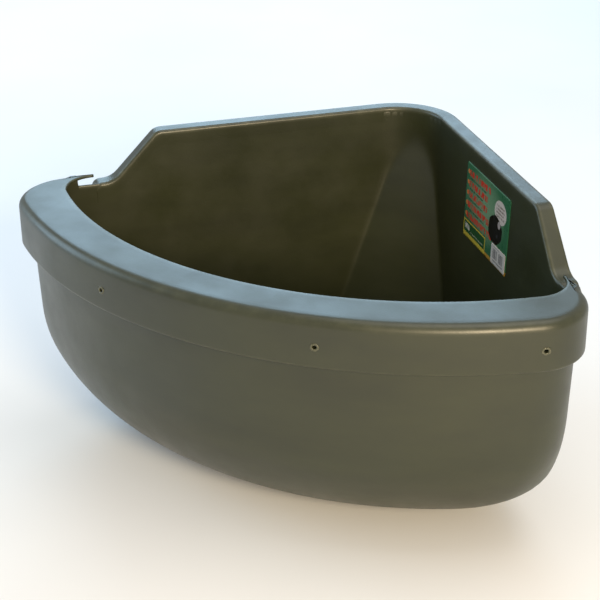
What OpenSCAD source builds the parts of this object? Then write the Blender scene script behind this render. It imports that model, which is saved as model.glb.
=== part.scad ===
// Corner trough for livestock, hung or stood in the corner of a pen.
// One moulded polyethylene shell with a raised back, a turned-out back flange and a broad
// front rim, plus the printed label and the barcode sticker fixed to its inside.
// Millimetres, +Z up. The front faces -Y, the room corner is at +Y and the origin is the
// middle of the bounding box on the floor.

/* [Overall size] */
// Height of the back flange above the floor
total_height = 390; // [250:1:600]
// Height of the low step of the walls beside the rim
step_height = 324; // [200:1:520]
// Height of the top of the front rim
rim_height = 338; // [210:1:540]
// Radius of the bowed front, outside of the rim
bow_radius = 584; // [350:1:900]
// How far the centre of the bow stands in front of the room corner
bow_centre = 42; // [0:1:120]
// Thickness of the moulded sheet
sheet = 4; // [2:0.5:8]
// Draft angle of the walls and the front
draft = 2; // [0.5:0.25:5]

/* [Back flange] */
// Width of the flange from its outer edge to the inner wall face
flange_width = 22; // [12:1:50]
// Depth of the turned-down outer lip
lip_depth = 10; // [6:0.5:25]
// Radius of the flange round the room corner
corner_radius = 88; // [50:1:160]
// Distance from the room corner to the end of the level top
level_end = 412; // [250:1:560]
// Distance from the room corner to the foot of the slope
slope_end = 476; // [300:1:620]
// Distance from the room corner to the end of the flange
flange_end = 503; // [330:1:650]
// Rounding at the top of the slope
slope_top_round = 20; // [12:1:60]
// Rounding at the foot of the slope
slope_foot_round = 30; // [10:1:80]
// Rounding of the flange end
flange_end_round = 12; // [11:0.5:20]

/* [Front rim] */
// Height of the lower edge of the rim skirt
skirt_bottom = 276; // [150:1:420]
// Distance from the room corner to the rim end face
rim_start = 524; // [350:1:680]
// How far the rim ends stand in from the flange edge
rim_end_set = 16; // [8:1:40]
// Radius of the vertical rim corners
rim_corner = 70; // [40:1:120]
// Rounding of the outer top edge of the rim
rim_edge_round = 12; // [5:0.5:25]
// Radius of the curved inner edge of the rim
opening_radius = 502; // [300:1:820]
// How far the centre of the inner edge stands in front of the room corner
opening_centre = 61.5; // [0:0.5:150]
// Corner radius of the opening
opening_corner = 43; // [15:1:90]

/* [Body] */
// Gap between the outside of the rim and the body at the skirt edge
body_set = 15; // [8:1:50]
// Radius between the front and the floor
front_bottom_round = 180; // [40:1:230]
// Radius between the walls and the floor
wall_bottom_round = 100; // [30:1:160]
// Radius of the vertical body corners near the rim
body_corner = 67; // [30:1:120]
// Where the sloping corner panel would meet the floor
panel_foot = 154; // [100:1:260]
// Slope of the corner panel from the vertical
panel_tilt = 16; // [5:0.5:35]
// Radius between the corner panel and the floor
panel_round = 60; // [10:1:120]

/* [Skirt holes] */
// Diameter of the drilled holes
hole_diameter = 5; // [3:0.5:12]
// Height of the holes
hole_height = 303; // [200:1:400]
// Bearing of the hole on the left, from the middle of the front
hole_left = -16; // [-40:0.5:0]
// Bearing of the hole right of the middle
hole_middle = 13.5; // [0:0.5:30]
// Bearing of the hole by the right end
hole_right = 39; // [25:0.5:45]

/* [Label and sticker] */
// Width of the printed label
label_width = 148; // [60:1:210]
// Height of the printed label
label_height = 105; // [40:1:150]
// Thickness of the label with its adhesive
label_thick = 0.4; // [0.2:0.1:1]
// Distance from the room corner to the near edge of the label
label_start = 193; // [100:1:260]
// Height of the lower edge of the label
label_bottom = 262; // [150:1:330]
// Width of the barcode sticker
code_width = 46; // [20:1:80]
// Height of the barcode sticker
code_height = 27; // [10:1:50]
// Thickness of the barcode sticker
code_thick = 0.3; // [0.1:0.1:1]
// Gap between the far edge of the label and the sticker
code_in = 3; // [0:0.5:30]
// Height of the sticker above the lower edge of the label
code_up = 1.5; // [0:0.5:30]

/* [Hidden] */
$fn = 48;

root2 = sqrt(2);
slope = tan(draft);
wall_set = flange_width - sheet;
body_radius = bow_radius - body_set + (total_height - skirt_bottom) * slope;
rear_y = -corner_radius * (root2 - 1);
front_y = -bow_centre - bow_radius;
shift_y = -(rear_y + front_y) / 2;
fall = atan2(total_height - step_height, slope_end - level_end);
half_tan = tan(fall / 2);
reach = 1400;
plate_reach = 118;
// Extra radius of the cuts that round the body corners, which sets them clear of tangency
corner_ease = 1.5;
// the bottom rounding stands this much proud of its tangent line, so the faces cross
round_ease = 0.05;
// step between the straight stretch's skirt foot and the corner stretch's
foot_step = 0.5;

// Distance along a wall to the centre of a round of radius r that stands set in from the
// wall and touches the inside of an arc of radius big about (0, -cy).
function along(set, r, big, cy) =
    let (o = set + r, b = -root2 * cy, q = big - r)
    (-b + sqrt(b * b - 4 * (o * o + b * o + cy * cy - q * q))) / 2;

rim_s = along(rim_end_set, rim_corner, bow_radius, bow_centre);
rim_x = (rim_s - rim_end_set - rim_corner) / root2;
rim_y = -(rim_s + rim_end_set + rim_corner) / root2;
rim_turn = atan2(rim_y + bow_centre, rim_x);

body_s = along(wall_set, body_corner + (total_height - skirt_bottom) * slope,
               body_radius, bow_centre);
body_top_corner = body_corner + (total_height - skirt_bottom) * slope;
body_x = (body_s - wall_set - body_top_corner) / root2;
body_y = -(body_s + wall_set + body_top_corner) / root2;
body_turn = atan2(body_y + bow_centre, body_x);

open_set = flange_width + (total_height - rim_height) * slope;
open_s = along(open_set, opening_corner, opening_radius, opening_centre);
open_x = (open_s - open_set - opening_corner) / root2;
open_y = -(open_s + open_set + opening_corner) / root2;
open_turn = atan2(open_y + opening_centre, open_x);

// Moves a child drawn in the frame of the right wall (x along the wall, y outward, z up)
module on_right_wall() { rotate([0, 0, -45]) children(); }
module both_walls() { on_right_wall() children(); mirror([1, 0, 0]) on_right_wall() children(); }

// Everything outside a leaning face with a rounded foot; X is distance in, Y is height.
module outside_section(start, lean, i, r, top) {
    round_r = r - i;
    zc = i + round_r;
    at = start + i / cos(lean);
    xc = at + (total_height - zc) * tan(lean) + round_r / cos(lean);
    difference() {
        polygon([
            [-reach, -20], [xc, -20], [xc, zc],
            [xc - round_r * cos(lean), zc - round_r * sin(lean)],
            [at + (total_height - top) * tan(lean), top], [-reach, top]
        ]);
        translate([xc, zc]) circle(round_r + round_ease);
    }
}

module outside_wall(i, top) {
    on_right_wall() translate([-reach, 0, 0]) rotate([90, 0, 90])
        linear_extrude(2 * reach) mirror([1, 0, 0])
            outside_section(wall_set, draft, i, wall_bottom_round, top);
}

module outside_panel(i, top) {
    start = panel_foot - total_height * tan(panel_tilt);
    translate([-reach, 0, 0]) rotate([90, 0, 90]) linear_extrude(2 * reach)
        mirror([1, 0, 0]) outside_section(start, panel_tilt, i, panel_round, top);
}

module front_room(i, top) {
    r = front_bottom_round - i;
    zc = i + r;
    edge = body_radius - i / cos(draft);
    foot = edge - (total_height - i) * slope;
    c = [edge - (total_height - zc) * slope - r / cos(draft), zc];
    more = r + 5;
    translate([0, -bow_centre, 0]) rotate_extrude(angle = 180, start = -180) difference() {
        polygon([[0, i], [foot, i], [edge + (top - total_height) * slope, top], [0, top]]);
        difference() {
            polygon([
                c, c + more * [cos(draft), -sin(draft)],
                c + 1.6 * more * [sin(45 + draft / 2), -cos(45 + draft / 2) - 0.02],
                c + more * [0, -1]
            ]);
            translate(c) circle(r);
        }
    }
}

// Everything outside a drafted round between two bearings
module round_cutter(x, y, r_top, from, to, i, top) {
    low = -10;
    r0 = r_top - i / cos(draft) - (total_height - low) * slope;
    r1 = r_top - i / cos(draft) - (total_height - top) * slope;
    translate([x, y, 0]) rotate_extrude(angle = to - from, start = from)
        polygon([[r0, low], [260, low], [260, top], [r1, top]]);
}

// The body as a filled volume, drawn in by i on every face
module body_room(i, top) {
    difference() {
        difference() {
            difference() {
                front_room(i, top);
                outside_wall(i, top + 10);
                mirror([1, 0, 0]) outside_wall(i, top + 10);
                outside_panel(i, top + 10);
            }
            round_cutter(0, -corner_radius * root2, corner_radius - wall_set,
                         45, 135, i, top + 10);
        }
        for (side = [0, 1]) mirror([side, 0, 0])
            round_cutter(body_x, body_y, body_top_corner + corner_ease,
                         body_turn - 10, 55, i, top + 10);
    }
}

// Side view of a wall under its top line, drawn in by i; X along the wall, Y height
module side_view(i, far) {
    shift = [-i * half_tan, -i];
    a = [level_end, total_height] + shift;
    b = [slope_end, step_height] + shift;
    ra = slope_top_round - i;
    rb = slope_foot_round + i;
    d = [cos(fall), -sin(fall)];
    ta = ra * half_tan;
    tb = rb * half_tan;
    difference() {
        union() {
            polygon([
                [0, 0], [0, a[1]], [a[0] - ta, a[1]], a + ta * d,
                b - tb * d, [b[0] + tb, b[1]], [far, b[1]], [far, 0]
            ]);
            translate([a[0] - ta, a[1] - ra]) circle(ra);
        }
        translate([b[0] + tb, b[1] + rb]) circle(rb);
    }
}

// The same view ended at the flange end with its rounded top corner
module flange_view(i) {
    r = flange_end_round - i;
    difference() {
        side_view(i, flange_end - i);
        translate([flange_end - flange_end_round, step_height - flange_end_round])
            difference() { square(flange_end_round + 1); circle(r); }
    }
}

// A strip of the flange view from the corner round outward, under its top line
module flange_strip(depth, wide) {
    on_right_wall() rotate([90, 0, 0]) linear_extrude(wide)
        difference() {
            flange_view(0);
            flange_view(depth);
            translate([-1, -1]) square([corner_radius + 1, total_height + 2]);
            translate([slope_end, -1])
                square([flange_end, step_height - lip_depth + 1]);
        }
}

module flange() {
    for (side = [0, 1]) mirror([side, 0, 0]) {
        flange_strip(sheet, flange_width);
        flange_strip(lip_depth, sheet);
    }
    translate([0, -corner_radius * root2, 0]) rotate_extrude(angle = 90, start = 45) {
        translate([corner_radius - flange_width, total_height - sheet])
            square([flange_width, sheet]);
        translate([corner_radius - sheet, total_height - lip_depth])
            square([sheet, lip_depth]);
    }
}

// Parts of the wall and front sheets that stand above their trimmed top edges
module trim_off() {
    both_walls() {
        translate([0, -5, 0]) rotate([90, 0, 0]) linear_extrude(60) difference() {
            translate([level_end - 30, step_height - 20])
                square([rim_start - level_end + 30, total_height]);
            side_view(0, rim_start + 20);
        }
        translate([rim_start - 1, -125, rim_height - sheet / 2]) cube([150, 120, 200]);
    }
    translate([0, -bow_centre, rim_height - sheet / 2])
        rotate_extrude(angle = 110, start = -145)
            translate([body_radius - 40, 0]) square([60, 200]);
}

// Section of the rim from its outer face inward, drawn in by i; X is radius
module rim_section(edge, i, inner, foot = 0) {
    r = rim_edge_round - i;
    low = i > 0 ? skirt_bottom - 5 : skirt_bottom + foot;
    difference() {
        translate([inner, low]) square([edge - i - inner, rim_height - i - low]);
        translate([edge - rim_edge_round, rim_height - rim_edge_round])
            difference() { square(rim_edge_round + 1); circle(r); }
    }
}

module rim_room(i) {
    inner = i > 0 ? plate_reach + 6 : plate_reach;
    translate([0, -bow_centre, 0])
        rotate_extrude(angle = 180 + 2 * rim_turn, start = -180 - rim_turn)
            rim_section(bow_radius, i, bow_radius - inner);
    for (side = [0, 1]) mirror([side, 0, 0]) {
        translate([rim_x, rim_y, 0])
            rotate_extrude(angle = 45 - rim_turn + 35, start = rim_turn - 25)
                rim_section(rim_corner, i, 0);
        on_right_wall() translate([rim_start + i, 0, 0]) rotate([90, 0, 90])
            linear_extrude(rim_s - rim_start - i)
                translate([-rim_end_set - rim_corner, 0])
                    rim_section(rim_corner, i, i > 0 ? -16 : -10, foot_step);
    }
}

// Plan of the opening inside the rim
module opening_plan() {
    difference() {
        intersection() {
            translate([0, -open_set * root2]) rotate(-135) square(900);
            translate([0, -opening_centre]) circle(opening_radius);
        }
        for (side = [0, 1]) mirror([side, 0]) difference() {
            polygon([
                [open_x, open_y],
                [open_x, open_y] + 200 * [cos(45), sin(45)],
                [open_x, open_y] + 400 * [cos(-5), sin(-5)],
                [open_x, open_y] + 200 * [cos(open_turn), sin(open_turn)]
            ]);
            translate([open_x, open_y]) circle(opening_corner);
        }
    }
}

module rim() {
    difference() {
        rim_room(0);
        rim_room(sheet);
        translate([0, 0, skirt_bottom - 10]) linear_extrude(200) opening_plan();
    }
}

module skirt_holes() {
    for (a = [hole_left, hole_middle, hole_right])
        translate([0, -bow_centre, hole_height]) rotate([0, 0, a - 90])
            translate([bow_radius - sheet - 2, 0, 0]) rotate([0, 90, 0])
                cylinder(h = sheet + 6, d = hole_diameter);
}

// The one-piece moulded trough: body, back flange and front rim
module trough_shell() {
    color([0.16, 0.19, 0.10]) translate([0, shift_y, 0]) difference() {
        union() {
            difference() {
                body_room(0, total_height);
                body_room(sheet, total_height + 10);
                trim_off();
            }
            flange();
            rim();
        }
        skirt_holes();
    }
}

// A flat plate lying on the leaning inner face of the right wall
module wall_plate(start, low, wide, high, gap, thick) {
    face = flange_width + sheet * (1 / cos(draft) - 1);
    translate([0, shift_y, 0]) on_right_wall()
        translate([start, -face - (total_height - low) * slope, low])
            rotate([-draft, 0, 0]) translate([0, -gap - thick, 0])
                cube([wide, thick, high]);
}

// The printed self-adhesive label
module product_label() {
    color([0.20, 0.42, 0.26])
        wall_plate(label_start, label_bottom, label_width, label_height, 0, label_thick);
}

// The white barcode sticker over the far lower corner of the label
module barcode_sticker() {
    color([0.92, 0.91, 0.88])
        wall_plate(label_start + label_width - code_in - code_width,
                   label_bottom + code_up, code_width, code_height,
                   label_thick, code_thick);
}

trough_shell();
product_label();
barcode_sticker();
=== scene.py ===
"""Corner trough for livestock: a moulded shell with its back flange, front rim and label.

Every size below is in millimetres in the plan of the room corner: the two outer flange
planes meet at the origin, the walls run at 45 degrees to -Y, and the floor is z = 0.
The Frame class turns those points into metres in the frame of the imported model.
"""
import logging
import math
from dataclasses import dataclass, field
from enum import Enum

import bmesh
import bpy
import numpy as np
from mathutils import Matrix, Vector


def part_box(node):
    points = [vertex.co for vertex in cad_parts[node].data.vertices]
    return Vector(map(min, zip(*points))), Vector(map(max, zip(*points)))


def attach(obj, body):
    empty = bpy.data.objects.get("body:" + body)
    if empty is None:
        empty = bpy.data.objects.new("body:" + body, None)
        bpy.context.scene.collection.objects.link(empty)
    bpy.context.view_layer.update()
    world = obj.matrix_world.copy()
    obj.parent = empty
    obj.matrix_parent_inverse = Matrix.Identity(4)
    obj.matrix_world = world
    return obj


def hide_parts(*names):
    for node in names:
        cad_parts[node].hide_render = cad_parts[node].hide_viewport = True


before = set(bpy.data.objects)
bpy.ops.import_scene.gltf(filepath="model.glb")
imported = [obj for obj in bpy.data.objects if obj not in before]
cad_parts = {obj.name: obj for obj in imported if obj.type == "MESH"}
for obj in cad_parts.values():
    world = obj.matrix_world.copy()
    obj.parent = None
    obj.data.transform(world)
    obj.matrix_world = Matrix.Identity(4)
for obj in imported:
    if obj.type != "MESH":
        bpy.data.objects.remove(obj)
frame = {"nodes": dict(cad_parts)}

LOG = logging.getLogger("trough")
ROOT2 = math.sqrt(2.0)
MM = 0.001
SHELL, LABEL, STICKER = "trough_shell", "product_label", "barcode_sticker"


class Side(Enum):
    """The two skins of the moulded sheet."""

    OUTER = 0.0
    INNER = 4.0


@dataclass(frozen=True)
class Sizes:
    """The moulding's leading sizes in millimetres."""

    height: float = 390.0
    step: float = 324.0
    rim: float = 338.0
    skirt: float = 276.0
    sheet: float = 4.0
    lean: float = math.tan(math.radians(2.0))
    wall_set: float = 18.0
    flange: float = 22.0
    corner: float = 88.0
    bow: float = 584.0
    bow_y: float = 42.0
    body_gap: float = 15.0
    front_foot: float = 180.0
    wall_foot: float = 100.0
    panel_foot: float = 60.0
    panel_start: float = 154.0
    panel_lean: float = math.tan(math.radians(16.0))
    body_corner: float = 71.0
    rim_set: float = 16.0
    rim_corner: float = 70.0
    rim_start: float = 524.0
    open_bow: float = 502.0
    open_y: float = 61.5
    open_corner: float = 43.0

    @property
    def body_bow(self) -> float:
        """Radius of the body's front at the height of the flange."""
        return self.bow - self.body_gap + (self.height - self.skirt) * self.lean

    @property
    def open_set(self) -> float:
        """Distance of the rim's inner edge from the flange plane along the walls."""
        return self.flange + (self.height - self.rim) * self.lean


class Frame:
    """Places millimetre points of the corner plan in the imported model's frame."""

    def __init__(self, sizes: Sizes) -> None:
        """Reads the shift along Y from the shell's own box.

        Args:
            sizes: The moulding's sizes.
        """
        low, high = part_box(SHELL)
        rear = -sizes.corner * (ROOT2 - 1.0)
        self.shift = high.y / MM - rear

    def place(self, points: np.ndarray) -> np.ndarray:
        """Shifts points along Y and scales them to metres."""
        return (points + np.array([0.0, self.shift, 0.0])) * MM


def along(gap: np.ndarray, r: np.ndarray, big: np.ndarray, cy: float) -> np.ndarray:
    """Distance along a wall to the centre of a round that touches a wall and the bow.

    The round's centre stands gap + r from the flange plane and big - r from (0, -cy);
    the two conditions give one quadratic, and this is its larger root.

    Args:
        gap: Distance of the wall face from the flange plane.
        r: Radius of the round.
        big: Radius of the bow.
        cy: Distance of the bow's centre in front of the room corner.

    Returns:
        The distance s along the wall.
    """
    o = gap + r
    b = -ROOT2 * cy
    q = big - r
    return (-b + np.sqrt(b * b - 4.0 * (o * o + b * o + cy * cy - q * q))) / 2.0


def wall_xy(s: np.ndarray, o: np.ndarray) -> tuple[np.ndarray, np.ndarray]:
    """Plan point on the right wall at s along it and o in from the flange plane."""
    return (s - o) / ROOT2, -(s + o) / ROOT2


def soft_min(a: np.ndarray, b: np.ndarray, k: float) -> np.ndarray:
    """The smaller of two values, blended by a parabola where they differ by under k."""
    h = np.maximum(k - np.abs(a - b), 0.0) / k
    return np.minimum(a, b) - h * h * k / 4.0


def weld_grid(
    name: str,
    points: np.ndarray,
    wrap: bool = True,
    poles: bool = False,
    caps: bool = False,
    edge_highlight: np.ndarray | None = None,
    uv: np.ndarray | None = None,
) -> bpy.types.Object:
    """Makes a mesh from a grid of points, row by row.

    Each cell of the grid becomes one quad. The last column joins the first where wrap
    is true. Poles close the first and last row with a fan to its mean point, and caps
    close them with one flat face.

    Args:
        name: Name of the object.
        points: Array of rows, columns and three coordinates in metres.
        wrap: Whether the columns form closed rings.
        poles: Whether the first and last ring end in a pole.
        caps: Whether the first and last ring end in a flat face.
        edge_highlight: Painted edge highlight from 0 to 1 for each row and column.
        uv: UV pair for each row and column.

    Returns:
        The new object, at the origin.
    """
    rows, cols = points.shape[:2]
    index = np.arange(rows * cols).reshape(rows, cols)
    right = np.roll(index, -1, axis=1) if wrap else index[:, 1:]
    left = index if wrap else index[:, :-1]
    quads = np.stack([left[:-1], right[:-1], right[1:], left[1:]], axis=-1).reshape(-1, 4)
    verts = points.reshape(-1, 3)
    faces = quads.tolist()
    edge_light_share = np.zeros(rows * cols) if edge_highlight is None else np.broadcast_to(edge_highlight, (rows, cols)).ravel()
    if poles:
        ends = np.stack([points[0].mean(0), points[-1].mean(0)])
        first, last = rows * cols, rows * cols + 1
        verts = np.vstack([verts, ends])
        edge_light_share = np.concatenate([edge_light_share, np.zeros(2)])
        a, b = index[0], np.roll(index[0], -1)
        faces += np.stack([b, a, np.full(cols, first)], -1).tolist()
        a, b = index[-1], np.roll(index[-1], -1)
        faces += np.stack([a, b, np.full(cols, last)], -1).tolist()
    if caps:
        faces += [index[0][::-1].tolist(), index[-1].tolist()]
    mesh = bpy.data.meshes.new(name)
    mesh.from_pydata(verts.tolist(), [], faces)
    layer = mesh.attributes.new("edge_highlight", "FLOAT", "POINT")
    layer.data.foreach_set("value", edge_light_share.astype(np.float32))
    if uv is not None:
        loops = np.zeros(len(mesh.loops), np.int64)
        mesh.loops.foreach_get("vertex_index", loops)
        flat = uv.reshape(-1, 2)
        mesh.uv_layers.new(name="print").data.foreach_set("uv", flat[loops].ravel())
    mesh.polygons.foreach_set("use_smooth", np.ones(len(mesh.polygons), bool))
    mesh.update()
    obj = bpy.data.objects.new(name, mesh)
    bpy.context.scene.collection.objects.link(obj)
    return obj


def face_out(obj: bpy.types.Object) -> None:
    """Turns the faces of a closed mesh outwards after merging its doubled points."""
    work = bmesh.new()
    work.from_mesh(obj.data)
    bmesh.ops.remove_doubles(work, verts=work.verts, dist=2e-6)
    bmesh.ops.recalc_face_normals(work, faces=work.faces)
    work.to_mesh(obj.data)
    work.free()
    obj.data.update()


# ---------------------------------------------------------------- finishes


class Graph:
    """A material's node graph with short calls for the nodes the finishes use."""

    def __init__(self, name: str) -> None:
        """Starts an empty material with its output and its main shader."""
        self.material = bpy.data.materials.new(name)
        self.material.use_nodes = True
        self.tree = self.material.node_tree
        self.tree.nodes.clear()
        self.out = self.tree.nodes.new("ShaderNodeOutputMaterial")
        self.shader = self.tree.nodes.new("ShaderNodeBsdfPrincipled")
        self.tree.links.new(self.shader.outputs[0], self.out.inputs[0])

    def add(self, kind: str, **values: object) -> bpy.types.Node:
        """Adds a node and sets its properties."""
        node = self.tree.nodes.new(kind)
        for key, value in values.items():
            setattr(node, key, value)
        return node

    def feed(self, socket: bpy.types.NodeSocket, value: object) -> None:
        """Links a socket to another one, or sets it to a plain value."""
        if isinstance(value, bpy.types.NodeSocket):
            self.tree.links.new(value, socket)
        else:
            socket.default_value = value

    def math(self, kind: str, *values: object, clamp: bool = False) -> bpy.types.NodeSocket:
        """One Math node fed with up to three values."""
        node = self.add("ShaderNodeMath", operation=kind, use_clamp=clamp)
        for socket, value in zip(node.inputs, values):
            self.feed(socket, value)
        return node.outputs[0]

    def mix(self, share: object, a: object, b: object) -> bpy.types.NodeSocket:
        """Blends two colours by a share."""
        node = self.add("ShaderNodeMix", data_type="RGBA")
        self.feed(node.inputs[0], share)
        self.feed(node.inputs[6], a)
        self.feed(node.inputs[7], b)
        return node.outputs[2]

    def place(self, stretch: tuple[float, float, float]) -> bpy.types.NodeSocket:
        """Object coordinates stretched along the three axes."""
        coord = self.add("ShaderNodeTexCoord")
        mapping = self.add("ShaderNodeMapping")
        mapping.inputs["Scale"].default_value = stretch
        self.feed(mapping.inputs["Vector"], coord.outputs["Object"])
        return mapping.outputs[0]

    def noise(
        self, scale: float, detail: float, rough: float, vector: object = None
    ) -> bpy.types.NodeSocket:
        """Noise value in object space."""
        node = self.add("ShaderNodeTexNoise")
        self.feed(node.inputs["Vector"], vector if vector else self.place((1, 1, 1)))
        node.inputs["Scale"].default_value = scale
        node.inputs["Detail"].default_value = detail
        node.inputs["Roughness"].default_value = rough
        return node.outputs[0]

    def span(
        self, value: object, low: float, high: float, to_low: float = 0.0, to_high: float = 1.0
    ) -> bpy.types.NodeSocket:
        """Maps a value from one range to another and clamps it."""
        node = self.add("ShaderNodeMapRange", clamp=True)
        for socket, item in zip(node.inputs, (value, low, high, to_low, to_high)):
            self.feed(socket, item)
        return node.outputs[0]

    def bump(
        self, height: object, strength: float, distance: float, under: object = None
    ) -> bpy.types.NodeSocket:
        """A bump over an earlier one."""
        node = self.add("ShaderNodeBump")
        node.inputs["Strength"].default_value = strength
        node.inputs["Distance"].default_value = distance
        self.feed(node.inputs["Height"], height)
        if under is not None:
            self.feed(node.inputs["Normal"], under)
        return node.outputs[0]


@dataclass(frozen=True)
class MouldedPolyethylene:
    """Satin moulded polyethylene with faint swirls, scuffs, bloom and painted highlights along its
    rounded edges.
    """

    name: str = "satin_green_polyethylene"
    dark: tuple[float, float, float, float] = (0.019, 0.022, 0.0075, 1.0)
    light: tuple[float, float, float, float] = (0.030, 0.034, 0.012, 1.0)
    # Lighter colour used both for real scuffs and for the painted edge highlights.
    scuff_and_highlight: tuple[float, float, float, float] = (0.085, 0.088, 0.045, 1.0)
    roughness: tuple[float, float] = (0.33, 0.45)

    def make(self) -> bpy.types.Material:
        """Builds the material from object-space noise and the edge_highlight attribute, which paints
        highlights onto rounded edges.
        """
        g = Graph(self.name)
        cloud = g.noise(3.2, 5.0, 0.55)
        swirl = g.noise(9.0, 4.0, 0.6, g.place((1.0, 1.0, 3.5)))
        tone = g.span(g.math("MULTIPLY_ADD", swirl, 0.45, g.math("MULTIPLY", cloud, 0.55)), 0.35, 0.65)
        base = g.mix(tone, self.dark, self.light)
        speck = g.span(g.noise(1400.0, 2.0, 0.5), 0.62, 0.78, 0.0, 0.35)
        base = g.mix(speck, base, self.light)
        # Painted highlight: the edge_highlight attribute, broken up by noise, lightens the rounded edges
        # where light catches them.
        edge_highlight = g.add("ShaderNodeAttribute", attribute_name="edge_highlight").outputs["Fac"]
        broken = g.span(g.noise(55.0, 5.0, 0.7), 0.42, 0.68)
        edge_shine = g.math("MULTIPLY", edge_highlight, g.math("MULTIPLY_ADD", broken, 0.45, 0.12))
        base = g.mix(edge_shine, base, self.scuff_and_highlight)
        scratch_a = g.span(g.noise(38.0, 3.0, 0.6, g.place((1.0, 9.0, 26.0))), 0.70, 0.76)
        scratch_b = g.span(g.noise(30.0, 3.0, 0.6, g.place((14.0, 1.0, 22.0))), 0.71, 0.77)
        patch = g.span(g.noise(5.0, 2.0, 0.5), 0.50, 0.68)
        scuff = g.math("MULTIPLY", g.math("MAXIMUM", scratch_a, scratch_b), patch)
        base = g.mix(g.math("MULTIPLY", scuff, 0.22), base, self.scuff_and_highlight)
        g.feed(g.shader.inputs["Base Color"], base)
        sheen_map = g.span(g.noise(14.0, 6.0, 0.65), 0.3, 0.7, *self.roughness)
        rough = g.math("MULTIPLY_ADD", scuff, 0.14, sheen_map)
        rough = g.math("MULTIPLY_ADD", edge_shine, -0.05, rough, clamp=True)
        g.feed(g.shader.inputs["Roughness"], rough)
        wave = g.bump(g.noise(7.0, 2.0, 0.4), 0.35, 0.004)
        peel = g.bump(g.noise(420.0, 3.0, 0.55), 0.10, 0.0006, wave)
        grain = g.bump(g.noise(1800.0, 2.0, 0.5), 0.07, 0.0003, peel)
        cut = g.bump(scuff, 0.12, -0.0004, grain)
        g.feed(g.shader.inputs["Normal"], cut)
        g.shader.inputs["IOR"].default_value = 1.51
        g.shader.inputs["Specular IOR Level"].default_value = 0.62
        return g.material


@dataclass(frozen=True)
class DrillBurr:
    """Torn, lighter plastic raised round a drilled hole."""

    name: str = "drill_burr"
    colour: tuple[float, float, float, float] = (0.055, 0.058, 0.030, 1.0)

    def make(self) -> bpy.types.Material:
        """Builds the material from one noise in object space."""
        g = Graph(self.name)
        torn = g.noise(900.0, 4.0, 0.7)
        g.feed(
            g.shader.inputs["Base Color"],
            g.mix(g.span(torn, 0.35, 0.65), self.colour, (0.11, 0.11, 0.07, 1.0)),
        )
        g.feed(g.shader.inputs["Roughness"], g.span(torn, 0.3, 0.7, 0.22, 0.45))
        g.feed(g.shader.inputs["Normal"], g.bump(torn, 0.5, 0.0006))
        return g.material


class Print(Graph):
    """A printed film: coloured shapes laid one over another in the piece's own UV."""

    def __init__(self, name: str, ground: object) -> None:
        """Starts the print with its ground colour."""
        super().__init__(name)
        uv = self.add("ShaderNodeUVMap", uv_map="print")
        split = self.add("ShaderNodeSeparateXYZ")
        self.feed(split.inputs[0], uv.outputs[0])
        self.uv = uv.outputs[0]
        self.u, self.v = split.outputs[0], split.outputs[1]
        self.colour = ground

    def box(self, u0: float, v0: float, u1: float, v1: float) -> bpy.types.NodeSocket:
        """A mask that is 1 inside a rectangle."""
        a = self.math("COMPARE", self.u, (u0 + u1) / 2, (u1 - u0) / 2)
        b = self.math("COMPARE", self.v, (v0 + v1) / 2, (v1 - v0) / 2)
        return self.math("MULTIPLY", a, b)

    def oval(
        self, u: float, v: float, ru: float, rv: float, lumps: float = 0.0
    ) -> bpy.types.NodeSocket:
        """A mask that is 1 inside an ellipse, its edge pushed by noise where asked."""
        x = self.math("DIVIDE", self.math("SUBTRACT", self.u, u), ru)
        y = self.math("DIVIDE", self.math("SUBTRACT", self.v, v), rv)
        far = self.math("SQRT", self.math("ADD", self.math("POWER", x, 2), self.math("POWER", y, 2)))
        if lumps:
            push = self.noise(7.0, 1.0, 0.4, self.uv)
            far = self.math("MULTIPLY_ADD", self.math("SUBTRACT", push, 0.5), lumps, far)
        return self.span(far, 1.03, 0.97)

    def lay(self, mask: object, colour: tuple[float, float, float], share: float = 1.0) -> None:
        """Lays a colour over the print where the mask is 1."""
        if share < 1.0:
            mask = self.math("MULTIPLY", mask, share)
        self.colour = self.mix(mask, self.colour, (*colour, 1.0))

    def words(
        self, u0: float, u1: float, v: float, high: float, pitch: float, seed: float
    ) -> bpy.types.NodeSocket:
        """A mask of blank letter blocks in one row: upright strokes cut by a noise."""
        coord = self.add("ShaderNodeCombineXYZ")
        self.feed(coord.inputs[0], self.math("MULTIPLY", self.u, pitch))
        self.feed(coord.inputs[1], self.math("MULTIPLY", self.v, 0.5 / high))
        coord.inputs[2].default_value = seed
        strokes = self.span(self.noise(1.0, 1.0, 0.6, coord.outputs[0]), 0.44, 0.48)
        return self.math("MULTIPLY", strokes, self.box(u0, v - high / 2, u1, v + high / 2))

    def finish(self, rough: float) -> bpy.types.Material:
        """Feeds the print to the shader with a thin gloss film and fine creases."""
        self.feed(self.shader.inputs["Base Color"], self.colour)
        film = self.noise(60.0, 3.0, 0.5)
        self.feed(self.shader.inputs["Roughness"], self.span(film, 0.3, 0.7, rough, rough + 0.15))
        crease = self.bump(self.noise(22.0, 3.0, 0.5), 0.25, 0.0008)
        dots = self.bump(self.noise(2600.0, 1.0, 0.5), 0.05, 0.0002, crease)
        self.feed(self.shader.inputs["Normal"], dots)
        return self.material


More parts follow.
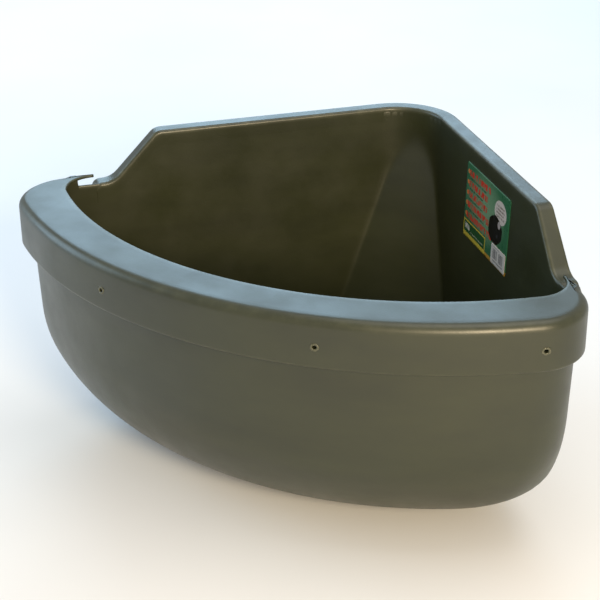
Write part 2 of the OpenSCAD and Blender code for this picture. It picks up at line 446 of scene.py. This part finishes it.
@dataclass(frozen=True)
class PrintedLabel:
    """The green label: rows of blank letter blocks and plain rounded shapes."""

    name: str = "printed_label"
    green: tuple[float, float, float, float] = (0.028, 0.130, 0.058, 1.0)
    pale: tuple[float, float, float, float] = (0.175, 0.300, 0.170, 1.0)
    cream: tuple[float, float, float] = (0.60, 0.52, 0.46)
    black: tuple[float, float, float] = (0.004, 0.004, 0.005)
    red: tuple[float, float, float] = (0.55, 0.035, 0.020)
    glow_at: tuple[float, float] = (0.46, 0.58)
    glow_reach: float = 0.22
    rows: tuple[tuple[float, float, float], ...] = (
        (0.875, 0.07, 0.56),
        (0.735, 0.07, 0.50),
        (0.595, 0.05, 0.52),
        (0.455, 0.06, 0.56),
        (0.310, 0.06, 0.64),
    )

    def make(self) -> bpy.types.Material:
        """Builds the print from boxes, ovals and letter rows."""
        g = Print(self.name, self.green)
        x = g.math("POWER", g.math("SUBTRACT", g.u, self.glow_at[0]), 2)
        y = g.math("POWER", g.math("SUBTRACT", g.v, self.glow_at[1]), 2)
        glow = g.span(g.math("ADD", x, y), 0.0, self.glow_reach, 1.0, 0.0)
        g.colour = g.mix(glow, self.green, self.pale)
        for k, (v, left, right) in enumerate(self.rows):
            g.lay(g.oval(0.045, v + 0.005, 0.022, 0.030), (0.75, 0.20, 0.05), 0.8)
            g.lay(g.words(left, right, v, 0.080, 62.0, 3.7 * k), self.red)
            small = g.words(left + 0.02, right - 0.1, v - 0.068, 0.022, 150.0, 2.3 * k)
            g.lay(small, (0.01, 0.05, 0.025))
        g.lay(g.oval(0.800, 0.730, 0.130, 0.150), self.cream)
        g.lay(g.oval(0.720, 0.620, 0.035, 0.060), self.cream)
        for k in range(4):
            line = g.words(0.71, 0.89, 0.800 - 0.045 * k, 0.026, 110.0, 9.1 + k)
            g.lay(line, (0.16, 0.12, 0.09), 0.8)
        g.lay(g.oval(0.715, 0.455, 0.150, 0.185, 0.45), self.black)
        # Painted highlight: this pale oval on the black shape stands in for a glint.
        g.lay(g.oval(0.790, 0.560, 0.030, 0.050), (0.40, 0.34, 0.32))
        g.lay(g.oval(0.760, 0.400, 0.012, 0.020), (0.05, 0.05, 0.06))
        g.lay(g.box(0.0, 0.0, 1.0, 0.055), (0.46, 0.25, 0.035))
        g.lay(g.box(0.0, 0.0, 0.52, 0.235), (0.55, 0.42, 0.05))
        g.lay(g.box(0.018, 0.065, 0.505, 0.215), (0.012, 0.075, 0.022))
        g.lay(g.words(0.04, 0.15, 0.150, 0.075, 70.0, 21.0), (0.62, 0.58, 0.50))
        g.lay(g.words(0.17, 0.47, 0.105, 0.020, 120.0, 25.0), (0.42, 0.44, 0.30), 0.8)
        return g.finish(0.24)


@dataclass(frozen=True)
class StickerPrint:
    """The white sticker: two blocks of upright bars and a row of blank figures."""

    name: str = "white_sticker"

    def make(self) -> bpy.types.Material:
        """Builds the bars from a stretched noise in two boxes."""
        g = Print(self.name, (0.56, 0.52, 0.47, 1.0))
        coord = g.add("ShaderNodeCombineXYZ")
        g.feed(coord.inputs[0], g.math("MULTIPLY", g.u, 46.0))
        bars = g.span(g.noise(1.0, 0.0, 0.5, coord.outputs[0]), 0.49, 0.51)
        for u0, u1 in ((0.12, 0.45), (0.55, 0.86)):
            g.lay(g.math("MULTIPLY", bars, g.box(u0, 0.30, u1, 0.80)), (0.03, 0.03, 0.04))
        g.lay(g.words(0.14, 0.84, 0.19, 0.09, 60.0, 4.0), (0.08, 0.08, 0.09), 0.9)
        g.lay(g.words(0.10, 0.60, 0.90, 0.05, 80.0, 6.0), (0.12, 0.12, 0.12), 0.7)
        return g.finish(0.42)


# ---------------------------------------------------------------- the moulding


@dataclass
class Piece:
    """What every piece shares: its place, the moulding's sizes and how it is dressed."""

    frame: Frame
    sizes: Sizes = field(default_factory=Sizes)

    def settle(self, obj: bpy.types.Object, material: bpy.types.Material, slot: str) -> None:
        """Dresses a piece, puts it on the body and logs its size."""
        obj.data.materials.clear()
        obj.data.materials.append(material)
        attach(obj, "root")
        LOG.info("%s: %d faces", obj.name, len(obj.data.polygons))


@dataclass
class Body(Piece):
    """The tub: two leaning walls, the sloping corner panel, the bowed front and the floor."""

    crease: float = 4.0
    seam: float = 125.0
    floor_middle: tuple[float, float] = (0.0, -300.0)
    foot_levels: int = 26
    edge_round: float = 2.0
    inner_levels: int = 34
    outer_levels: int = 16

    def foot(self, z: np.ndarray, r: float, skin: float) -> np.ndarray:
        """How far a face has turned in at height z by its bottom rounding.

        A quarter circle of radius r - skin whose centre stands at height r.
        """
        q = np.clip((r - z) / (r - skin), 0.0, 1.0)
        return (r - skin) * (1.0 - np.sqrt(1.0 - q * q))

    def stations(self) -> tuple[np.ndarray, ...]:
        """Shares along the five stretches of the right half of the outline."""
        panel = np.sin(np.linspace(0, 1, 17) * math.pi / 2)
        rest = np.linspace(0, 1, 13)[1:] ** 1.3
        tail = self.wall_end() - self.wall_near()
        marks = (np.array([487, 489.5, 492, 495, 522, 523.4, 524.6, 526]) - self.wall_near()) / tail
        wall = np.union1d(np.linspace(0, 1, 30)[1:], marks[marks < 1.0])
        turn = np.linspace(0, 1, 21)[1:]
        bow = np.linspace(0, 1, 49)[1:]
        return panel, rest, wall, turn, bow

    def wall_near(self) -> float:
        """Distance along the wall where its plain stretch starts."""
        return self.seam * ROOT2 + self.sizes.open_set

    def wall_end(self) -> float:
        """Distance along the wall where the front corner starts, at rim height."""
        k = self.sizes
        o = k.open_set
        r = k.body_corner - k.sheet - (k.height - k.rim) * k.lean
        return float(along(o, r, k.body_bow - k.sheet - (k.height - k.rim) * k.lean, k.bow_y))

    def top(self) -> np.ndarray:
        """Height of the sheet's edge at each station of the right half.

        It follows the flange a few millimetres below its top, stands free between the
        flange end and the rim, and ends inside the rim's own sheet in front.
        """
        panel, rest, wall, turn, bow = self.stations()
        s = self.wall_near() + wall * (self.wall_end() - self.wall_near())
        line = np.interp(s, [0, 412, 476, 489, 493, 523.5, 524.5, 900],
                         [385, 385, 319, 319, 323.8, 323.8, 334.0, 335.0])
        back = np.full(len(panel) + len(rest), 385.0)
        return np.concatenate([back, line, np.full(len(turn) + len(bow), 335.0)])

    def outline(self, z: np.ndarray, skin: float) -> np.ndarray:
        """The right half of the outline for heights given at every station.

        Rear stretch: the smaller of the rounded wall corner and the leaning panel, with
        stations that follow their crossing. Wall: a straight line. Front corner: an arc
        that touches the wall and the bow. Front: an arc round (0, -bow_y). All radii and
        offsets change with height by the draft and by the bottom roundings.

        Args:
            z: Heights, levels by stations.
            skin: Depth of the skin under the outer face.

        Returns:
            Points, levels by stations by three.
        """
        k = self.sizes
        parts = self.stations()
        cuts = np.cumsum([len(p) for p in parts])[:-1]
        zs = np.split(z, cuts, axis=1)
        rows = []
        for n, (share, zz) in enumerate(zip(parts, zs)):
            t = share[None, :]
            drop = (k.height - zz) * k.lean
            o = k.wall_set + skin + drop + self.foot(zz, k.wall_foot, skin)
            bow = k.body_bow - skin - drop - self.foot(zz, k.front_foot, skin)
            yp = k.panel_start + skin * 1.04 - k.panel_lean * zz + self.foot(zz, k.panel_foot, skin)
            rear = np.maximum(k.corner - o, 14.0)
            mid = -(o + rear) * ROOT2
            rc = np.maximum(k.body_corner - skin - drop, 40.0) + 0.15 * self.foot(zz, k.front_foot, skin)
            sc = along(o, rc, bow, k.bow_y)
            if n < 2:
                d = -yp - mid
                arc_x = np.sqrt(np.maximum(rear * rear - d * d, 0.0))
                cross = np.where(d > rear / ROOT2, arc_x, yp - o * ROOT2)
                cross = np.maximum(cross, 8.0)
                x = t * cross if n == 0 else cross + t * (self.seam - cross)
                arc = mid + np.sqrt(np.maximum(rear * rear - x * x, 0.0))
                y = np.where(x < rear / ROOT2, arc, -x - o * ROOT2)
                y = soft_min(y, -yp, self.crease)
            elif n == 2:
                x = self.seam + t * ((sc - o) / ROOT2 - self.seam)
                y = -x - o * ROOT2
            else:
                cx, cy = wall_xy(sc, o + rc)
                turn = np.arctan2(cy + k.bow_y, cx)
                if n == 3:
                    a = math.pi / 4 + t * (turn - math.pi / 4)
                    x, y = cx + rc * np.cos(a), cy + rc * np.sin(a)
                else:
                    a = turn + t * (-math.pi / 2 - turn)
                    x, y = bow * np.cos(a), -k.bow_y + bow * np.sin(a)
            rows.append(np.stack([x + 0 * zz, y + 0 * zz, zz], axis=-1))
        return np.concatenate(rows, axis=1)

    def skin(self, depth: float, levels: int, rings: int) -> np.ndarray:
        """One skin from the middle of the floor up to its edge.

        The floor is the lowest outline shrunk towards one point in even steps, the
        bottom rounding has levels at even angles, and the wall has even levels.
        """
        k = self.sizes
        top = self.top()[None, :] - self.edge_round
        angle = np.linspace(0, math.pi / 2, self.foot_levels)[:, None]
        low = depth + (k.front_foot - depth) * (1 - np.cos(angle))
        up = np.linspace(0, 1, levels + 1)[1:, None]
        z = np.concatenate([low + 0 * top, k.front_foot + up * (top - k.front_foot)])
        side = self.outline(z, depth)
        centre = np.array([*self.floor_middle, depth])
        shrink = np.linspace(0.04, 1, rings, endpoint=False)[:, None, None]
        floor = centre + shrink * (side[:1] - centre)
        return np.concatenate([floor, side])

    def build(self) -> bpy.types.Object:
        """Joins the inner skin, the rounded edge and the outer skin into one closed mesh."""
        inner = self.skin(Side.INNER.value, self.inner_levels, 12)
        outer = self.skin(Side.OUTER.value, self.outer_levels, 8)
        turn = np.linspace(0, math.pi, 7)[1:-1, None, None]
        a, b = inner[-1][None], outer[-1][None]
        edge = (a + b) / 2 + (a - b) / 2 * np.cos(turn)
        edge[:, :, 2] = a[:, :, 2] + self.edge_round * np.sin(turn[:, :, 0])
        half = np.concatenate([inner, edge, outer[::-1]])
        left = half[:, -2:0:-1] * np.array([-1.0, 1.0, 1.0])
        loop = np.concatenate([half, left], axis=1)
        edge_highlight = np.zeros(loop.shape[:2])
        # Painted highlight along the rounded top edge of the sheet.
        edge_highlight[len(inner) - 1 : len(inner) + 6] = 0.8
        obj = weld_grid("trough_body", self.frame.place(loop), poles=True, edge_highlight=edge_highlight)
        face_out(obj)
        return obj


@dataclass
class BackFlange(Piece):
    """The rolled flange along the top of both walls with its turned-down outer lip."""

    level_end: float = 412.0
    slope_end: float = 476.0
    end: float = 503.0
    top_round: float = 20.0
    foot_round: float = 30.0
    end_round: float = 12.0

    def path(self) -> tuple[np.ndarray, np.ndarray, np.ndarray, np.ndarray]:
        """The flange's top line from the corner to its end, with its upward normal.

        Level, a convex round, the slope, a concave round, level again and a convex
        round that turns the end down.

        Returns:
            Distance along the wall, height, and the normal's two parts.
        """
        k = self.sizes
        fall = math.atan2(k.height - k.step, self.slope_end - self.level_end)
        half = math.tan(fall / 2)
        ta, tb = self.top_round * half, self.foot_round * half
        up = math.pi / 2
        sweep = np.linspace(up, up - fall, 9)
        s, z, a = [], [], []

        def line(s0: float, s1: float, z0: float, z1: float, n: int, angle: float) -> None:
            """Adds points of a straight stretch without its ends."""
            t = np.linspace(0, 1, n + 2)[1:-1]
            s.append(s0 + t * (s1 - s0))
            z.append(z0 + t * (z1 - z0))
            a.append(np.full(n, angle))

        def arc(cs: float, cz: float, r: float, angles: np.ndarray) -> None:
            """Adds points of a round; a negative radius makes it concave."""
            s.append(cs + r * np.cos(angles))
            z.append(cz + r * np.sin(angles))
            a.append(angles)

        s.append(np.array([k.corner]))
        z.append(np.array([k.height]))
        a.append(np.array([up]))
        line(k.corner, self.level_end - ta, k.height, k.height, 14, up)
        arc(self.level_end - ta, k.height - self.top_round, self.top_round, sweep)
        arc(self.slope_end + tb, k.step + self.foot_round, -self.foot_round, sweep[::-1])
        last = self.end - self.end_round
        line(self.slope_end + tb, last, k.step, k.step, 1, up)
        arc(last, k.step - self.end_round, self.end_round, np.linspace(up, math.radians(8), 9))
        s, z, a = (np.concatenate(v) for v in (s, z, a))
        return s, z, np.cos(a), np.sin(a)

    def profile(self) -> np.ndarray:
        """The sheet's closed section: offset in, depth, straight drop, wall share, painted edge
        highlight.

        Outer lip with a rounded foot, a rounded shoulder, the flat top, the rounded
        inner shoulder, a leg that lies round the wall's edge, and the underside.
        """
        q = np.linspace(0, math.pi / 2, 6)
        out = np.stack([3.2 - 3.2 * np.cos(q), 3.2 - 3.2 * np.sin(q)], -1)
        into = np.stack([18.1 + 4 * np.sin(q), 4 - 4 * np.cos(q)], -1)
        # The last column paints highlights on the lip's rounded foot and on both rounded shoulders.
        rows = [(4, 8.6, 0, 0, 0), (3.4, 9.7, 0, 0, 0.5), (2, 10, 0, 0, 1), (0.7, 9.7, 0, 0, 1),
                (0, 8.8, 0, 0, 0.5), (0, 6, 0, 0, 0)]
        rows += [(o, d, 0, 0, 0.9) for o, d in out]
        rows += [(6, 0, 0, 0.1, 0.1), (10, 0, 0, 0.4, 0), (14, 0, 0, 0.8, 0), (17, 0, 0, 1, 0.1)]
        rows += [(o, d, 0, 1, 1) for o, d in into]
        rows += [(22.1, 4.2, 3, 1, 0.1), (22.08, 4.2, 9, 1, 0), (21.98, 4.2, 18, 1, 0),
                 (21.8, 4.2, 27, 1, 0), (20, 4.2, 28, 1, 0), (18.2, 4.2, 27, 1, 0),
                 (17.9, 4.2, 14, 1, 0), (17.9, 4.2, 4, 1, 0), (17.6, 4.2, 1.6, 1, 0),
                 (16.6, 4.2, 0.3, 1, 0), (15, 4, 0, 0.8, 0), (6.5, 4, 0, 0.1, 0),
                 (4.9, 4.4, 0, 0, 0), (4, 5.5, 0, 0, 0)]
        return np.array(rows)

    def build(self) -> bpy.types.Object:
        """Carries the section round the corner and along both walls."""
        k = self.sizes
        s, z, ns, nz = (v[:, None] for v in self.path())
        o, d, drop, share, edge_light_share = self.profile().T[:, None, :]
        zz = z - d * nz - drop
        oo = o + share * (k.height - zz) * k.lean * (zz < k.height)
        x, y = wall_xy(s - d * ns, oo)
        straight = np.stack([x, y, zz], -1)
        turn = np.linspace(math.pi / 2, math.pi / 4, 15)[:-1, None]
        zc = k.height - d - drop + 0 * turn
        rc = k.corner - o - share * (k.height - zc) * k.lean
        bend = np.stack([rc * np.cos(turn), -k.corner * ROOT2 + rc * np.sin(turn), zc], -1)
        half = np.concatenate([bend, straight])
        mirror = half[:0:-1] * np.array([-1.0, 1.0, 1.0])
        grid = np.concatenate([mirror, half])
        edge_highlight = np.broadcast_to(edge_light_share, grid.shape[:2])
        obj = weld_grid("back_flange", self.frame.place(grid), caps=True, edge_highlight=edge_highlight)
        face_out(obj)
        return obj


@dataclass
class FrontRim(Piece):
    """The broad flat rim with its deep skirt, rounded shoulder and closed ends."""

    shoulder: float = 12.0
    roll: float = 2.4
    end_plate: float = 4.7
    end_fill: float = 6.3
    hole_height: float = 303.0
    hole_radius: float = 2.5
    hole_bearings: tuple[float, ...] = (-16.0, 13.5, 39.0)

    def rails(self) -> tuple[np.ndarray, ...]:
        """Points and outward normals of the outer and inner plan curves.

        Each is a straight stretch along the wall, an arc and the bow, with the same
        number of stations, so that station n of one faces station n of the other.

        Returns:
            Outer points, outer normals, inner points, inner normals and the distance
            along the wall (large beyond the straight stretch).
        """
        k = self.sizes
        ends = np.array([0, 0.25, 0.8, 1.8, 3.2, 4.4, 5.0, 9.0])
        curves = []
        for gap, r, big, cy in (
            (k.rim_set, k.rim_corner, k.bow, k.bow_y),
            (k.open_set, k.open_corner, k.open_bow, k.open_y),
        ):
            s = float(along(gap, r, big, cy))
            cx, cyy = wall_xy(s, gap + r)
            turn = math.atan2(cyy + cy, cx)
            line = k.rim_start + ends
            x0, y0 = wall_xy(line, gap + 0 * line)
            n0 = np.stack([np.full(len(line), 1 / ROOT2)] * 2, -1)
            a = math.pi / 4 + np.linspace(0, 1, 25) * (turn - math.pi / 4)
            b = turn + np.linspace(0, 1, 57)[1:] * (-math.pi / 2 - turn)
            na = np.stack([np.cos(a), np.sin(a)], -1)
            nb = np.stack([np.cos(b), np.sin(b)], -1)
            p = np.concatenate([
                np.stack([x0, y0], -1), np.array([cx, cyy]) + r * na, np.array([0, -cy]) + big * nb
            ])
            curves += [p, np.concatenate([n0, na, nb])]
        run = np.full(len(curves[0]), 99.0)
        run[: len(ends)] = ends
        return (*curves, run)

    def section(self) -> np.ndarray:
        """The half rim as a grid: stations by points of the closed section.

        The section runs down the skirt's inner face, round its foot, up its outer face,
        round the shoulder, across the ledge, over the inner edge and back underneath.
        Within the first millimetres of the end it is filled and its edges are rounded.
        """
        k = self.sizes
        op, on, ip, inn, run = self.rails()
        wide = np.linalg.norm(op - ip, axis=1)
        re = np.clip(0.60 * wide, 3.0, self.shoulder)
        shrink = np.interp(run, [0, 0.25, 0.8, 1.8, 3.2], [2.6, 1.5, 0.7, 0.15, 0.0])
        solid = run < self.end_plate
        cols = []

        def outer(w: np.ndarray, z: np.ndarray) -> None:
            """A point w in from the outer curve."""
            w = w + shrink
            cols.append(np.column_stack([op - on * w[:, None], z - shrink * (z > 300)]))

        def inner(w: np.ndarray, z: np.ndarray) -> None:
            """A point w out from the inner curve."""
            cols.append(np.column_stack([ip + inn * w[:, None], z - shrink]))

        zero = np.zeros(len(run))
        wall = np.where(solid, self.end_fill, k.sheet)
        for w, z in ((0, 328), (0, 312), (0, 294), (0, 279)):
            outer(wall + w, zero + z)
        for w, z in ((3.3, 276.8), (2.0, 276.0), (0.8, 276.3), (0.1, 277.4)):
            outer(np.where(solid, wall * w / 3.3, w) if w > 3 else zero + w, zero + z)
        for z in (279.5, 288, 298, 308, 318):
            outer(zero, zero + z)
        for a in np.linspace(0, math.pi / 2, 9):
            outer(re * (1 - math.cos(a)), k.rim - re * (1 - math.sin(a)))
        a_point, b_point = op - on * re[:, None], ip + inn * self.roll
        for t in (0.12, 0.3, 0.5, 0.7, 0.88):
            cols.append(np.column_stack([a_point + t * (b_point - a_point), k.rim - shrink]))
        for a in np.linspace(0, math.pi / 2, 6):
            inner(zero + self.roll * (1 - math.sin(a)), k.rim - self.roll * (1 - math.cos(a)) + zero)
        inner(zero, zero + k.rim - 3.3)
        inner(zero + 0.4, zero + k.rim - 3.85)
        under = np.where(solid, 328.5, k.rim - k.sheet)
        inner(zero + 1.4, np.where(solid, 332.0, k.rim - k.sheet))
        c_point, d_point = ip + inn * 1.8, op - on * (wall + 2.2)[:, None]
        for t in (0.25, 0.6):
            cols.append(np.column_stack([c_point + t * (d_point - c_point), under]))
        outer(wall + 1.4 * ~solid, under)
        outer(wall + 0.3 * ~solid, under - 1.2)
        return np.stack(cols, axis=1)

    def build(self) -> bpy.types.Object:
        """Mirrors the half rim, closes its ends and drills the three holes."""
        half = self.section()
        grid = np.concatenate([half, half[-2::-1] * np.array([-1.0, 1.0, 1.0])])
        cols = grid.shape[1]
        edge_light_share = np.zeros(cols)
        # Painted highlights: the floor's reflection on the skirt's foot, a band across the rounded
        # shoulder and a thin line along the inner edge.
        edge_light_share[4:8] = 0.7
        edge_light_share[13:22] = 0.55 * np.sin(np.linspace(0, math.pi, 9))
        edge_light_share[27:33] = 0.9
        obj = weld_grid("front_rim", self.frame.place(grid), caps=True, edge_highlight=edge_light_share[None, :])
        face_out(obj)
        self.drill(obj)
        return obj

    def spot(self, bearing: float, radius: float) -> Matrix:
        """Frame at a hole: origin on the skirt, Z straight out, in metres."""
        a = math.radians(bearing - 90.0)
        at = np.array([radius * math.cos(a), -self.sizes.bow_y + radius * math.sin(a), self.hole_height])
        out = Vector((math.cos(a), math.sin(a), 0.0))
        turn = out.to_track_quat("Z", "Y").to_matrix().to_4x4()
        return Matrix.Translation(Vector(self.frame.place(at))) @ turn

    def drill(self, obj: bpy.types.Object) -> None:
        """Cuts the holes with round cutters and keeps the result as plain mesh."""
        work = bmesh.new()
        for bearing in self.hole_bearings:
            bmesh.ops.create_cone(
                work, cap_ends=True, segments=32, radius1=self.hole_radius * MM,
                radius2=self.hole_radius * MM, depth=12 * MM,
                matrix=self.spot(bearing, self.sizes.bow - 2.0),
            )
        mesh = bpy.data.meshes.new("drills")
        work.to_mesh(mesh)
        work.free()
        tool = bpy.data.objects.new("drills", mesh)
        bpy.context.scene.collection.objects.link(tool)
        cut = obj.modifiers.new("holes", "BOOLEAN")
        cut.operation, cut.solver, cut.object = "DIFFERENCE", "EXACT", tool
        shown = obj.evaluated_get(bpy.context.evaluated_depsgraph_get())
        done = bpy.data.meshes.new_from_object(shown)
        obj.modifiers.remove(cut)
        obj.data = done
        bpy.data.objects.remove(tool)

    def burrs(self) -> bpy.types.Object:
        """The torn rings round the holes: a low bump carried round each hole.

        Its radius and height wander with three slow waves round the circle.
        """
        a = np.linspace(0, 2 * math.pi, 49)[:-1][:, None]
        q = np.linspace(0, 2 * math.pi, 13)[:-1][None, :]
        parts = []
        for n, bearing in enumerate(self.hole_bearings):
            mean = 3.9 + 0.25 * np.sin(2 * a + n) + 0.2 * np.sin(5 * a + 2 * n)
            tall = 0.75 + 0.2 * np.sin(3 * a + n) + 0.12 * np.sin(7 * a)
            r = mean + 1.35 * np.cos(q)
            ring = np.stack([r * np.cos(a) + 0.25, r * np.sin(a) - 0.2, tall * np.sin(q) + 0 * a], -1)
            m = np.array(self.spot(bearing, self.sizes.bow))
            parts.append((ring * MM) @ m[:3, :3].T + m[:3, 3])
        rings = [weld_ring(p) for p in parts]
        verts = np.concatenate([v for v, _ in rings])
        step = len(rings[0][0])
        faces = np.concatenate([f + n * step for n, (_, f) in enumerate(rings)])
        mesh = bpy.data.meshes.new("hole_burrs")
        mesh.from_pydata(verts.tolist(), [], faces.tolist())
        mesh.polygons.foreach_set("use_smooth", np.ones(len(mesh.polygons), bool))
        obj = bpy.data.objects.new("hole_burrs", mesh)
        bpy.context.scene.collection.objects.link(obj)
        face_out(obj)
        return obj


def weld_ring(points: np.ndarray) -> tuple[np.ndarray, np.ndarray]:
    """Points and quads of a grid that closes both ways."""
    rows, cols = points.shape[:2]
    index = np.arange(rows * cols).reshape(rows, cols)
    down, right = np.roll(index, -1, 0), np.roll(index, -1, 1)
    both = np.roll(down, -1, 1)
    return points.reshape(-1, 3), np.stack([index, right, both, down], -1).reshape(-1, 4)


@dataclass
class Film(Piece):
    """A thin printed film lying on the right inner wall."""

    name: str = "printed_label"
    start: float = 193.0
    low: float = 262.0
    wide: float = 148.0
    high: float = 105.0
    lift: float = 0.12
    thick: float = 0.4
    corner: float = 2.5
    ripple: float = 0.10

    def build(self) -> bpy.types.Object:
        """A closed film: rounded outline, slow ripples, and a front and a back face.

        A square grid is carried onto a rectangle whose corners are pulled in along a
        circle, and the front stands off the wall by the lift, thickness and ripple.
        """
        k = self.sizes
        a = np.linspace(0, 1, 61)[None, :] * self.wide
        b = np.linspace(0, 1, 45)[:, None] * self.high
        near_a = np.minimum(a, self.wide - a)
        near_b = np.minimum(b, self.high - b)
        pull = np.maximum(self.corner - near_b, 0) + 0 * a
        pull = self.corner - np.sqrt(np.maximum(self.corner**2 - pull**2, 0))
        aa = a + np.where(a < self.wide / 2, 1, -1) * pull * (near_a < 0.1)
        bb = b + 0 * a
        wave = self.ripple * (
            np.sin(aa / 21.0 + bb / 37.0) * np.sin(bb / 16.0) + 0.5 * np.sin(aa / 9.0)
        )
        edge = np.clip(np.minimum(near_a, near_b + 0 * a) / 4.0, 0, 1)
        face = k.flange + (k.height - self.low - bb) * k.lean + self.lift
        grids = []
        for depth in (0.0, self.thick + np.maximum(wave, 0) * edge):
            x, y = wall_xy(self.start + aa, face + depth)
            grids.append(np.stack([x, y, self.low + bb], -1))
        front = self.frame.place(grids[1])
        uv = np.stack([aa / self.wide, bb / self.high], -1)
        obj = weld_grid(self.name, front, wrap=False, uv=uv)
        rows, cols = front.shape[:2]
        back = self.frame.place(grids[0])
        work = bmesh.new()
        work.from_mesh(obj.data)
        top = list(work.verts)
        layer = work.loops.layers.uv["print"]
        ring = [(0, c) for c in range(cols)] + [(r, cols - 1) for r in range(1, rows)]
        ring += [(rows - 1, c) for c in range(cols - 2, -1, -1)]
        ring += [(r, 0) for r in range(rows - 2, 0, -1)]
        low = [work.verts.new(back[r, c]) for r, c in ring]
        for n, (r, c) in enumerate(ring):
            m = (n + 1) % len(ring)
            r2, c2 = ring[m]
            quad = (top[r * cols + c], top[r2 * cols + c2], low[m], low[n])
            made = work.faces.new(quad)
            for loop, (i, j) in zip(made.loops, ((r, c), (r2, c2), (r2, c2), (r, c))):
                loop[layer].uv = uv[i, j]
        work.faces.new(low[::-1])
        bmesh.ops.recalc_face_normals(work, faces=work.faces)
        work.to_mesh(obj.data)
        work.free()
        return obj


# ---------------------------------------------------------------- the studio


@dataclass
class Studio:
    """Pale floor, soft lights and the camera."""

    eye: tuple[float, float, float] = (0.8768, -1.6138, 1.1169)
    right: tuple[float, float, float] = (0.87186, 0.48966, -0.00941)
    up: tuple[float, float, float] = (-0.20967, 0.39056, 0.89638)
    lens: float = 92.8
    sensor: float = 36.0

    def floor(self) -> None:
        """A large pale sheet under the trough."""
        side = np.linspace(-7, 7, 3)
        x, y = np.meshgrid(side, side)
        points = np.stack([x, y, np.full_like(x, -0.0004)], -1)
        obj = weld_grid("studio_floor", points, wrap=False)
        g = Graph("pale_floor")
        tone = g.span(g.noise(1.5, 3.0, 0.5), 0.3, 0.7)
        g.feed(g.shader.inputs["Base Color"], g.mix(tone, (0.80, 0.80, 0.80, 1), (0.86, 0.86, 0.86, 1)))
        g.shader.inputs["Roughness"].default_value = 0.9
        obj.data.materials.append(g.material)

    def light(
        self,
        name: str,
        at: tuple[float, float, float],
        size: tuple[float, float],
        power: float,
        colour: tuple[float, float, float],
    ) -> None:
        """A rectangular soft light aimed at the trough."""
        data = bpy.data.lights.new(name, "AREA")
        data.shape, data.size, data.size_y = "RECTANGLE", size[0], size[1]
        data.energy, data.color = power, colour
        obj = bpy.data.objects.new(name, data)
        obj.location = at
        aim = Vector((0.0, 0.0, 0.25)) - Vector(at)
        obj.rotation_euler = aim.to_track_quat("-Z", "Y").to_euler()
        obj.visible_camera = False
        bpy.context.scene.collection.objects.link(obj)

    def world(self) -> None:
        """A plain pale surround."""
        world = bpy.data.worlds.new("pale_surround")
        world.use_nodes = True
        back = world.node_tree.nodes["Background"]
        back.inputs[0].default_value = (0.93, 0.95, 1.0, 1.0)
        back.inputs[1].default_value = 0.55
        bpy.context.scene.world = world

    def camera(self) -> None:
        """The camera from its place and its right and up directions."""
        data = bpy.data.cameras.new("view")
        data.lens, data.sensor_width = self.lens, self.sensor
        data.clip_start, data.clip_end = 0.05, 60.0
        obj = bpy.data.objects.new("view", data)
        right, up = Vector(self.right).normalized(), Vector(self.up).normalized()
        back = right.cross(up).normalized()
        turn = Matrix((right, back.cross(right), back)).transposed()
        obj.matrix_world = Matrix.Translation(Vector(self.eye)) @ turn.to_4x4()
        bpy.context.scene.collection.objects.link(obj)
        bpy.context.scene.camera = obj

    def build(self) -> None:
        """Sets up everything that is not the trough."""
        self.camera()
        self.floor()
        self.world()
        self.light("warm_key", (2.3, -2.1, 1.55), (0.9, 0.9), 105.0, (1.0, 0.80, 0.52))
        self.light("cool_back", (-1.9, 2.6, 1.7), (2.6, 1.6), 55.0, (0.50, 0.78, 1.0))
        self.light("cool_side", (-3.0, -0.6, 1.3), (1.6, 1.8), 34.0, (0.55, 0.80, 1.0))
        self.light("soft_top", (0.6, 0.3, 3.4), (2.4, 2.4), 34.0, (1.0, 0.96, 0.90))
        bpy.context.scene.view_settings.view_transform = "Standard"


def main() -> None:
    """Builds the moulding, the label and sticker, and the studio."""
    logging.basicConfig(level=logging.INFO, format="%(message)s")
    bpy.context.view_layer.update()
    place = Frame(Sizes())
    green = MouldedPolyethylene().make()
    shell = [
        Body(place).build(),
        BackFlange(place).build(),
    ]
    rim = FrontRim(place)
    shell += [rim.build()]
    maker = Piece(place)
    for obj in shell:
        maker.settle(obj, green, "green_polyethylene")
    burr = rim.burrs()
    maker.settle(burr, DrillBurr().make(), "green_polyethylene")
    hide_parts(SHELL)
    label = Film(place)
    obj = label.build()
    label.settle(obj, PrintedLabel().make(), "printed_label")
    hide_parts(LABEL)
    code_wide, from_side, from_foot = 46.0, 3.0, 1.5
    code = Film(
        place,
        name="barcode_film",
        start=label.start + label.wide - from_side - code_wide,
        low=label.low + from_foot,
        wide=code_wide,
        high=27.0,
        lift=0.62,
        thick=0.3,
        corner=1.5,
        ripple=0.04,
    )
    obj = code.build()
    code.settle(obj, StickerPrint().make(), "white_sticker")
    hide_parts(STICKER)
    Studio().build()


if __name__ == "__main__":
    main()
